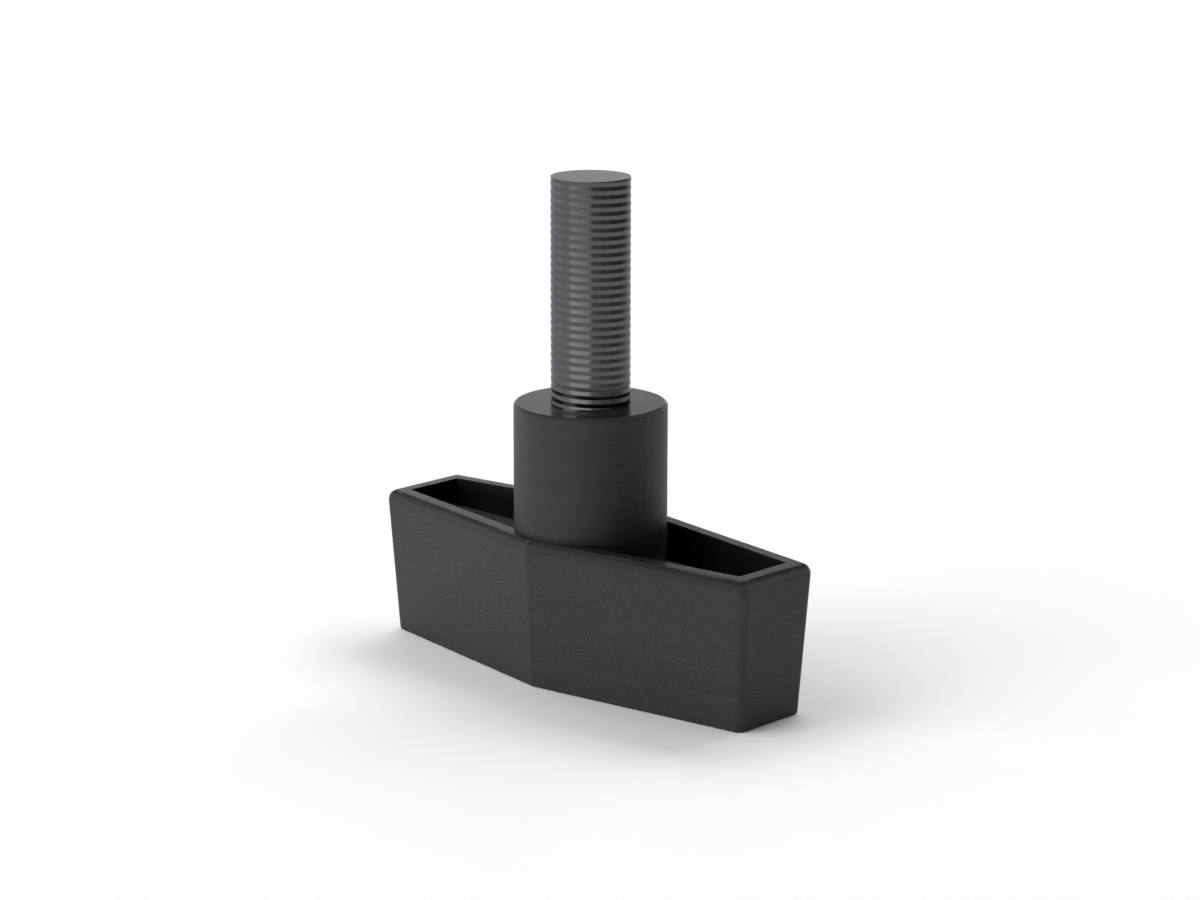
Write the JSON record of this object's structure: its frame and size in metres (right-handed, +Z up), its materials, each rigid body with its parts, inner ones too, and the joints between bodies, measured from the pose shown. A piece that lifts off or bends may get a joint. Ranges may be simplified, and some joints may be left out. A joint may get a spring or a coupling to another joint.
{
  "type": "t-handle wing screw",
  "caption": "Black plastic T-shaped wing handle with open pockets and a round hub, moulded on a threaded steel stud for hand tightening.",
  "frame": {"origin": "centre of the handle's foot, on the axis of the hub and the stud", "axes": "+X along the wings, +Y across the handle, +Z up through the hub and along the stud to its free end"},
  "size_m": [0.0504, 0.0182, 0.0507],
  "materials": {
    "handle_plastic": "satin black with fine level lines",
    "stud_steel": "dark satin steel"
  },
  "bodies": {
    "root": {"handle": "handle_plastic", "threaded_stud": "stud_steel"}
  },
  "joints": []
}
